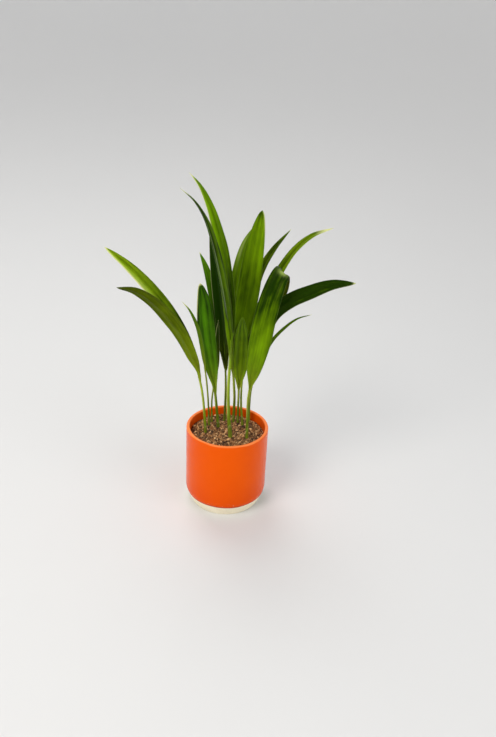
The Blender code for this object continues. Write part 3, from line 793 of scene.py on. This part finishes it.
# sheath: a thin tube up round the foot of the stalk and back down inside itself, whose top slants
def sheathShell(stem, seed):
    path = stalkPath(stem, sheath["pathStep"])
    lengths = pathLengths(path)
    low = sheath["bottom"]
    high = leaf["soilTop"] - leaf["stalkBottom"] + stem["sheath"]
    rows, innerRows = sheath["rows"], sheath["innerRows"]
    part = np.concatenate([np.linspace(0, 1, rows), np.linspace(1, sheath["innerEnd"], innerRows)])[:, None]
    inside = np.concatenate([np.zeros(rows), np.ones(innerRows)])[:, None]
    inside[rows - 1:rows + 1] = 0.5
    angle = roundAngles(sheath["sides"])
    lean = 1 - sheath["slant"] * (1 - np.cos(angle - seed * 1.9)) / 2
    where = low + (high - low) * part * lean
    centre = stacked(*(np.interp(where, lengths, path[:, axis]) for axis in range(3)))
    bottom, top = (value / 2 for value in stem["girth"])
    stalkRadius = bottom + (top - bottom) * where / lengths[-1]
    skin = sheath["skin"] - sheath["skinLoss"] * part ** 0.6
    radius = stalkRadius + skin * (1 - inside) + sheath["gap"] * inside
    radius = radius + sheath["flare"] * part ** 8
    radius = radius + sheath["ridges"] * np.cos(5 * angle + seed) * (1 - inside)
    grid = centre + turnedGrid(radius, 0 * radius, angle)
    pale = 0.04 + 0.22 * ease(part, 0.86, 1.0)
    tissue = stacked(0.25 + 0 * angle, pale, 0.10 + 0.62 * (1 - part) ** 1.6, 0.8)
    return closedShell(grid * mm, tissue, tubeGrain(angle, stalkRadius, where, seed))


leafColours = dict(
    Deep=(0.0045, 0.0235, 0.0004, 1.0),
    Underside=(0.135, 0.165, 0.0015, 1.0),
    Stalk=(0.43, 0.50, 0.030, 1.0),
    # pale colour of bleached tips and margins, also of painted highlights on blades and stalks
    Bleached=(0.62, 0.63, 0.27, 1.0),
)

leafGrain = dict(
    veinSpacing=0.062,  # in the grain map's units of 10 mm
    veinShade=0.12,
    shades=(0.20, 0.11, 0.16),  # how much streaks, fine streaks and blotches change the freshness
)


# leaf tissue from the attribute and the grain map: greens mixed by freshness, which holds painted light
# and shade, and long streaks, fine veins along the blade, yellow near the stalk, bleached tips, pale
# margins and painted highlights, a duller under side
def makeTissueGroup():
    group, given, result = newGroup(
        "leafTissue", {label: "Color" for label in ("Fresh", *leafColours)},
        {"Color": "Color", "Roughness": "Float", "Height": "Float"})
    fresh, pale, yellow, upper = heldTissue(group)
    grain = addNode(group, "UVMap", {}, uv_map="grain")["UV"]
    streak = noiseOf(group, stretched(group, grain, (7.0, 0.22, 1.0)), 1.0, 3.0, 0.6)
    fineStreak = noiseOf(group, stretched(group, grain, (40.0, 0.6, 1.0)), 1.0, 2.0)
    blotch = noiseOf(group, stretched(group, grain, (2.0, 0.8, 1.0)), 1.0, 2.0)
    turns = mathOf(group, "DIVIDE", partOf(group, grain, "X"), leafGrain["veinSpacing"])
    wave = mathOf(group, "SINE", mathOf(group, "MULTIPLY", turns, 2 * math.pi))
    vein = mathOf(group, "POWER", mathOf(group, "MULTIPLY_ADD", wave, 0.5, 0.5), 3.0)
    wide, narrow, patchy = (rangeOf(group, noise, 0.25, 0.75, -most, most, "LINEAR")
                            for noise, most in zip((streak, fineStreak, blotch), leafGrain["shades"]))
    shade = mathOf(group, "ADD", mathOf(group, "ADD", wide, narrow), patchy)
    shade = mathOf(group, "ADD", shade, mathOf(group, "MULTIPLY", vein, leafGrain["veinShade"]))
    tone = mathOf(group, "ADD", fresh, shade, clamp=True)
    colour = colourMix(group, tone, given["Deep"], given["Fresh"])
    colour = colourMix(group, mathOf(group, "SUBTRACT", 1.0, upper), colour, given["Underside"])
    colour = colourMix(group, yellow, colour, given["Stalk"])
    ragged = mathOf(group, "MULTIPLY_ADD", streak, 0.5, 0.75)
    pale = mathOf(group, "MULTIPLY", pale, ragged, clamp=True)
    # towards the pale colour: bleached tips and margins, and painted highlights
    colour = colourMix(group, pale, colour, given["Bleached"])
    smoothness = rangeOf(group, upper, 0.0, 1.0, 0.50, 0.31, "LINEAR")
    roughness = mathOf(group, "MULTIPLY_ADD", fineStreak, 0.12, smoothness)
    height = mathOf(group, "ADD", vein, mathOf(group, "MULTIPLY", fineStreak, 0.8))
    linkInto(group, result, {"Color": colour, "Roughness": roughness, "Height": height})
    return group


tissueGroup = makeTissueGroup()


def leafMaterial(name, green):
    material, tree = newMaterial(name, {
        "Specular IOR Level": 0.11, "Specular Tint": (0.85, 1.0, 0.15, 1.0),
        "Subsurface Weight": 0.12, "Subsurface Radius": (0.6, 1.0, 0.25), "Subsurface Scale": 0.7 * mm})
    tissue = addNode(tree, "Group", {"Fresh": (*green, 1.0), **leafColours}, node_tree=tissueGroup)
    return finished(material, tissue["Color"], tissue["Roughness"], tissue["Height"], 0.35, 0.06 * mm)


def makeLeafyStem(number, stem):
    shells = [stalkShell(stem, number), sheathShell(stem, number)]
    shells += [bladeShell(stem, blade, number * 5 + count) for count, blade in enumerate(stem["blades"])]
    material = leafMaterial(f"leafGreen{number:02d}", stem["green"])
    piece = meshPiece(f"leafyStem{number:02d}", joinedShells(shells), [material])
    node = f"leafy_stem_{number:02d}"
    dressNode(piece, node, f"{node}_green")
    return len(piece.data.polygons)


leafFaces = sum(makeLeafyStem(number, stem) for number, stem in enumerate(leafyStems, start=1))
print("leafy stems grown:", leafFaces, "faces")


# potting mix: a lumpy bed with crumbs, bark chips, pale grains and coir fibres bedded in it

mix = dict(
    top=55.0, radius=27.3, floor=6.4, corner=4.6,
    mounds=(  # place, rise and spread of each
        (-5, -12, 1.3, 8), (8, -16, 0.5, 7), (-18, 6, 0.7, 6), (14, 14, 0.8, 7), (2, 3, -1.0, 6)),
    lumps=((5.5, 0.75), (2.4, 0.55), (1.1, 0.30)),  # size and height of each grade of lump
    wallDip=1.3, bedTone=0.2,
    rings=80, sides=200,
    loose=(  # how many, least and greatest size, stretch, darkest and lightest tone, lying flat
        (950, (0.9, 2.3), (1, 1, 0.85), (0.0, 0.85), False),  # crumbs
        (1000, (0.5, 1.0), (1, 1, 0.85), (0.1, 1.0), False),  # dust
        (90, (2.0, 3.6), (1.3, 0.6, 0.25), (0.1, 0.8), True),  # bark chips
        (170, (0.7, 1.5), (1.1, 0.9, 0.8), (0.85, 1.0), False),  # pale grains
    ),
    lumpRings=4, lumpSides=7,
    fibres=130, fibreLength=(3.0, 8.0), fibreRadius=0.07, fibreSteps=8,
    seed=41,
    dark=(0.030, 0.012, 0.005, 1.0),
    brown=(0.280, 0.120, 0.036, 1.0),
    light=(0.84, 0.51, 0.23, 1.0),
)


# height of the bed: broad mounds, three grades of soft lumps, and a dip along the wall
def bedHeight(x, y):
    height = mix["top"] + 0 * x
    for moundX, moundY, rise, spread in mix["mounds"]:
        height = height + rise * np.exp(-((x - moundX) ** 2 + (y - moundY) ** 2) / spread ** 2)
    for grade, (size, rise) in enumerate(mix["lumps"]):
        height = height + rise * softNoise(stacked(x / size, y / size, grade * 7.3), 60 + grade)
    return height - mix["wallDip"] * (np.hypot(x, y) / mix["radius"]) ** 10


# the bed carried round the axis, with a side that goes down inside the pot to its floor
def bedShell():
    turn = roundAngles(mix["sides"])
    top = turnedGrid(np.linspace(0.01, 1, mix["rings"])[:, None] * mix["radius"], 0.0, turn)
    top[..., 2] = bedHeight(top[..., 0], top[..., 1])
    radius, floor, corner = mix["radius"], mix["floor"], mix["corner"]
    side = np.vstack([linePoints((radius, 50), (radius, floor + corner), 6),
                      arcPoints((radius - corner, floor + corner), corner, 0, -90, 6)[1:],
                      [(radius * 0.5, floor), (0.3, floor)]])
    grid = np.concatenate([top, turnedGrid(side[:, :1], side[:, 1:], turn)])
    tissue = stacked(mix["bedTone"] + 0 * grid[..., 0], 0, 0, 0)
    return closedShell(grid * mm, tissue, grid[..., :2] / 10)


# random turns, one for each lump, from unit quaternions
def randomTurns(draw, count):
    w, x, y, z = unit(draw.normal(size=(count, 4))).T
    rows = [[1 - 2 * (y * y + z * z), 2 * (x * y - z * w), 2 * (x * z + y * w)],
            [2 * (x * y + z * w), 1 - 2 * (x * x + z * z), 2 * (y * z - x * w)],
            [2 * (x * z - y * w), 2 * (y * z + x * w), 1 - 2 * (x * x + y * y)]]
    return np.array(rows).transpose(2, 0, 1)


# turns about the vertical, one for each lump, that shear it a little out of the level
def flatTurns(draw, count):
    spin = draw.uniform(0, 2 * np.pi, count)
    turns = np.zeros((count, 3, 3))
    turns[:, 0, 0] = turns[:, 1, 1] = np.cos(spin)
    turns[:, 0, 1], turns[:, 1, 0] = -np.sin(spin), np.sin(spin)
    turns[:, 2, :2] = draw.normal(0, 0.35, (count, 2))
    turns[:, 2, 2] = 1
    return turns


# places on the bed at random, clear of the stalks
def scatterPlaces(draw, count, margin):
    places = np.empty((0, 2))
    feet = np.array([stem["stalk"][0][:2] for stem in leafyStems], float)
    girths = np.array([stem["girth"][0] for stem in leafyStems]) / 2
    while len(places) < count:
        tries = draw.uniform(-1, 1, (count * 3, 2)) * (mix["radius"] - margin)
        inside = np.hypot(*tries.T) < mix["radius"] - margin
        apart = np.linalg.norm(tries[:, None] - feet[None], axis=-1) > girths + 0.35 + margin * 0.6
        places = np.vstack([places, tries[inside & apart.all(axis=1)]])
    return places[:count]


# many copies of one lump, a sphere of few faces without its poles: each is stretched, roughened, turned
# and about half bedded; random turns are drawn for those that lie flat too
def lumpShells(draw, count, sizes, stretch, tones, lyingFlat):
    rings, sides = mix["lumpRings"], mix["lumpSides"]
    fall = np.linspace(0.16, 0.84, rings)[:, None] * np.pi
    base = turnedGrid(np.sin(fall), np.cos(fall), roundAngles(sides)).reshape(-1, 3)
    size = draw.uniform(*sizes, count) / 2
    scale = size[:, None] * draw.uniform(0.75, 1.25, (count, 3)) * np.array(stretch)
    rough = draw.uniform(0.78, 1.22, (count, len(base), 1))
    turns = randomTurns(draw, count)
    if lyingFlat:
        turns = flatTurns(draw, count)
    points = np.einsum("nij,nkj->nki", turns, base[None] * rough * scale[:, None])
    x, y = scatterPlaces(draw, count, sizes[1] * 0.5).T
    centres = stacked(x, y, bedHeight(x, y) + size * draw.uniform(-0.35, 0.35, count))
    points = (points + centres[:, None]).reshape(-1, 3)
    ring = np.arange(sides)
    cap = stacked(0, ring[1:-1], ring[2:])
    caps = np.vstack([cap, cap[:, [0, 2, 1]] + (rings - 1) * sides])
    starts = (np.arange(count) * rings * sides)[:, None, None]
    tone = np.repeat(draw.uniform(*tones, count), rings * sides)
    tissue = stacked(tone, np.repeat(draw.random(count), rings * sides), 0, 0)
    quads = (ringQuads(rings, sides, True)[None] + starts).reshape(-1, 4)
    return dict(points=points * mm, quads=quads, triangles=(caps[None] + starts).reshape(-1, 3),
                tissue=tissue, grain=points[:, :2] / 10)


# coir fibres: thin threads of four sides, bent to one side, that arch over the bed
def fibreShells(draw):
    shells = []
    steps = mix["fibreSteps"]
    t = np.linspace(-0.5, 0.5, steps + 1)
    for place in scatterPlaces(draw, mix["fibres"], 2.5):
        length = draw.uniform(*mix["fibreLength"])
        heading = draw.uniform(0, 2 * np.pi)
        way = heading + draw.normal(0, 0.5) * t * 2
        strides = stacked(np.cos(way), np.sin(way)) * length / steps
        flat = place + np.cumsum(strides, axis=0) - strides.sum(axis=0) / 2
        reach = np.maximum(np.hypot(*flat.T), 1e-6)
        flat = flat * np.minimum(1, (mix["radius"] - 0.6) / reach)[:, None]
        rise = draw.uniform(0.15, 0.9) * (1 - (2 * t) ** 2) + draw.normal(0, 0.08, steps + 1)
        path = np.column_stack([flat, bedHeight(*flat.T) + 0.2 + rise])
        faces, sides = carriedFrames(path, (0.1, 0.2, 1.0))
        radius = mix["fibreRadius"] * draw.uniform(0.7, 1.5) * (1 - 0.6 * (2 * t[:, None]) ** 4)
        grid = tubeGrid(path, faces, sides, roundAngles(4), radius)
        tissue = stacked(draw.uniform(0.3, 0.95) + 0 * grid[..., 0], draw.random(), 0, 0)
        shells.append(closedShell(grid * mm, tissue, grid[..., :2] / 10))
    return shells


# mix: dark, brown or light by the tone that each lump holds, cloudy and specked
def mixMaterial():
    material, tree = newMaterial("pottingMix", {"IOR": 1.4})
    grain = addGrain(tree, objectPlace(tree), 420.0, 2600.0, 0.58)
    patch = rangeOf(tree, grain["Clouds"], *cloudRange, -0.22, 0.22, "LINEAR")
    level = mathOf(tree, "ADD", heldTissue(tree)[0], patch, clamp=True)
    colour = colourMix(tree, rangeOf(tree, level, 0.0, 0.55), mix["dark"], mix["brown"])
    colour = colourMix(tree, rangeOf(tree, level, 0.55, 1.0), colour, mix["light"])
    colour = tinted(tree, colour, grain["Specks"], 0.35, mix["light"])
    roughness = rangeOf(tree, grain["Clouds"], *cloudRange, 0.8, 0.95)
    return finished(material, colour, roughness, grain["Height"], 0.7, 0.25 * mm)


def makeMix():
    draw = np.random.default_rng(mix["seed"])
    shells = [bedShell()] + [lumpShells(draw, *kind) for kind in mix["loose"]] + fibreShells(draw)
    piece = meshPiece("pottingMix", joinedShells(shells), [mixMaterial()])
    dressNode(piece, "soil", "potting_mix")
    return len(piece.data.polygons)


print("potting mix laid:", makeMix(), "faces")


# stage: a pale round sweep, flat under the pot and curving up far from it, and soft studio light

stage = dict(
    flatRadius=0.5, edgeRadius=1.75, edgeHeight=1.3, sides=96,
    colour=(0.70, 0.695, 0.68, 1.0), wallColour=(0.90, 0.895, 0.88, 1.0),
    cloudColour=(0.6, 0.6, 0.6, 1.0),
    worldColour=(0.93, 0.95, 1.0, 1.0), worldStrength=0.50,
)

# round lamps, size across in metres; the light fades out towards the edge of a wide cone
studioLights = (
    dict(name="keyLight", place=(-0.62, -0.75, 0.95), aim=(0, 0, 0.11), size=0.7, watts=38.0, cone=160,
         colour=(1.0, 0.97, 0.93)),
    dict(name="fillLight", place=(0.95, -0.65, 0.55), aim=(0, 0, 0.10), size=0.9, watts=18.4, cone=110,
         colour=(0.93, 0.96, 1.0)),
    dict(name="topLight", place=(-0.25, 0.55, 1.05), aim=(0, 0, 0.15), size=0.6, watts=18.4, cone=160,
         colour=(1.0, 1.0, 1.0)),
)


# floor: flat rings, then a quarter of an ellipse that rises to the edge, carried round the axis
def makeStage():
    t = np.linspace(0, np.pi / 2, 16)
    run = stage["edgeRadius"] - stage["flatRadius"]
    curve = np.stack([stage["flatRadius"] + run * np.sin(t), stage["edgeHeight"] * (1 - np.cos(t))], axis=1)
    profile = np.vstack([[(0.02, 0.0), (0.2, 0.0), (0.4, 0.0)], curve])
    rows, sides = len(profile), stage["sides"]
    grid = turnedGrid(profile[:, :1], profile[:, 1:], roundAngles(sides))
    points = np.vstack([grid.reshape(-1, 3), [(0, 0, 0)]])
    triangles = ringFan(0, sides, rows * sides)
    shell = dict(points=points, quads=ringQuads(rows, sides, True), triangles=triangles,
                 tissue=np.zeros((len(points), 4)), grain=points[:, :2])
    material, tree = newMaterial("paleStage", {"Roughness": 0.75})
    place = objectPlace(tree)
    rise = rangeOf(tree, partOf(tree, place, "Z"), 0.0, 0.8)
    colour = colourMix(tree, rise, stage["colour"], stage["wallColour"])
    cloud = rangeOf(tree, noiseOf(tree, place, 3.0), *cloudRange, 0.0, 0.05)
    colour = colourMix(tree, cloud, colour, stage["cloudColour"])
    tree.links.new(colour, tree.nodes["Principled BSDF"].inputs["Base Color"])
    meshPiece("paleFloor", shell, [material])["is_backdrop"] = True


def makeLights():
    world = bpy.data.worlds.new("studioWorld")
    bpy.context.scene.world = world
    world.use_nodes = True
    background = world.node_tree.nodes["Background"]
    background.inputs["Color"].default_value = stage["worldColour"]
    background.inputs["Strength"].default_value = stage["worldStrength"]
    for lamp in studioLights:
        data = bpy.data.lights.new(lamp["name"], "SPOT")
        data.shadow_soft_size = lamp["size"] / 2
        data.spot_size = math.radians(lamp["cone"])
        data.spot_blend = 1.0
        data.energy = lamp["watts"]
        data.color = lamp["colour"]
        away = unit(np.array(lamp["place"]) - np.array(lamp["aim"]))
        right = unit(np.cross((0, 0, 1), away))
        placeObject(lamp["name"], data, right, np.cross(away, right), away, lamp["place"])


makeStage()
makeLights()
bpy.context.scene.view_settings.view_transform = "Standard"
print("stage and lights set")

boxes = {"cad": [list(corner) for corner in cadBox], "visual": [list(corner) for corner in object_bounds()]}
